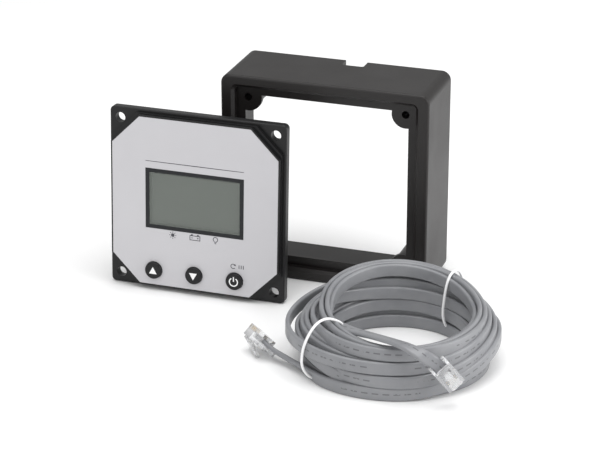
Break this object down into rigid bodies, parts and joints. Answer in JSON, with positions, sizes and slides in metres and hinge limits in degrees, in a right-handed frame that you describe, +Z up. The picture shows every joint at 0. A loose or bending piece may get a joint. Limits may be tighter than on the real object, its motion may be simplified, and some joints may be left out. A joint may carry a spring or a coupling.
{
  "type": "remote display kit",
  "caption": "Flush display panel with push buttons, an open surface-mount frame for it, and a coiled flat lead with modular plugs.",
  "frame": {"origin": "on the surface the kit stands on, under the middle of the panel and the frame", "axes": "+Z up, panel and frame face -Y, +X to the right seen from the front"},
  "size_m": [0.2266, 0.1694, 0.1125],
  "materials": {
    "housing_plastic": "satin",
    "frame_plastic": "satin",
    "button_plastic": "satin",
    "label_film": "matt",
    "dark_print": "satin",
    "window_plastic": "polished",
    "lcd_glass": "polished",
    "diffuser_plastic": "matt",
    "contact_rubber": "matt",
    "board_laminate": "satin",
    "switch_plastic": "matt",
    "socket_plastic": "satin",
    "gold_contacts": "polished",
    "screw_steel": "satin",
    "can_aluminium": "satin",
    "chip_ceramic": "matt",
    "cable_jacket": "satin",
    "tie_plastic": "satin",
    "clear_plastic": "polished"
  },
  "bodies": {
    "kit": {"panel_housing": "housing_plastic", "rear_cover": "housing_plastic", "surface_frame": "frame_plastic", "front_label": "label_film", "lcd_border": "dark_print", "lcd_window": "window_plastic", "lcd_cell": "lcd_glass", "lcd_diffuser": "diffuser_plastic", "lcd_contact_strips": "contact_rubber", "display_board": "board_laminate", "tact_switches": "switch_plastic", "buzzer": "switch_plastic", "microcontroller": "switch_plastic", "modular_socket": "socket_plastic", "socket_contacts": "gold_contacts", "plug_contacts_left": "gold_contacts", "plug_contacts_right": "gold_contacts", "board_screws": "screw_steel", "cover_screws": "screw_steel", "crystal": "screw_steel", "capacitors": "can_aluminium", "resistors": "chip_ceramic", "cable_coil": "cable_jacket", "cable_lead_left": "cable_jacket", "cable_lead_right": "cable_jacket", "tie_left": "tie_plastic", "tie_right": "tie_plastic", "plug_body_left": "clear_plastic", "plug_body_right": "clear_plastic"},
    "button_up": {"button_up": "button_plastic", "plunger_up": "switch_plastic"},
    "button_down": {"button_down": "button_plastic", "plunger_down": "switch_plastic"},
    "button_power": {"button_power": "button_plastic", "plunger_power": "switch_plastic"},
    "latch_left": {"plug_latch_left": "clear_plastic"},
    "latch_right": {"plug_latch_right": "clear_plastic"}
  },
  "joints": [
    {"name": "button_up_press", "type": "slide", "parent": "kit", "child": "button_up", "axis": [0, 0.9984, -0.0558], "range_m": [0, 0.0006], "stiffness_N_per_m": 2500},
    {"name": "button_down_press", "type": "slide", "parent": "kit", "child": "button_down", "axis": [0, 0.9984, -0.0558], "range_m": [0, 0.0006], "stiffness_N_per_m": 2500},
    {"name": "button_power_press", "type": "slide", "parent": "kit", "child": "button_power", "axis": [0, 0.9984, -0.0558], "range_m": [0, 0.0006], "stiffness_N_per_m": 2500},
    {"name": "latch_left_flex", "type": "hinge", "parent": "kit", "child": "latch_left", "pos_m": [0.01587, -0.08997, 0.00613], "axis": [-0.3628, -0.6216, 0.6943], "range_deg": [0, 12], "stiffness_Nm_per_rad": 0.2},
    {"name": "latch_right_flex", "type": "hinge", "parent": "kit", "child": "latch_right", "pos_m": [0.13221, -0.11967, 0.01183], "axis": [-0.6087, -0.5007, -0.6154], "range_deg": [0, 12], "stiffness_Nm_per_rad": 0.2}
  ]
}
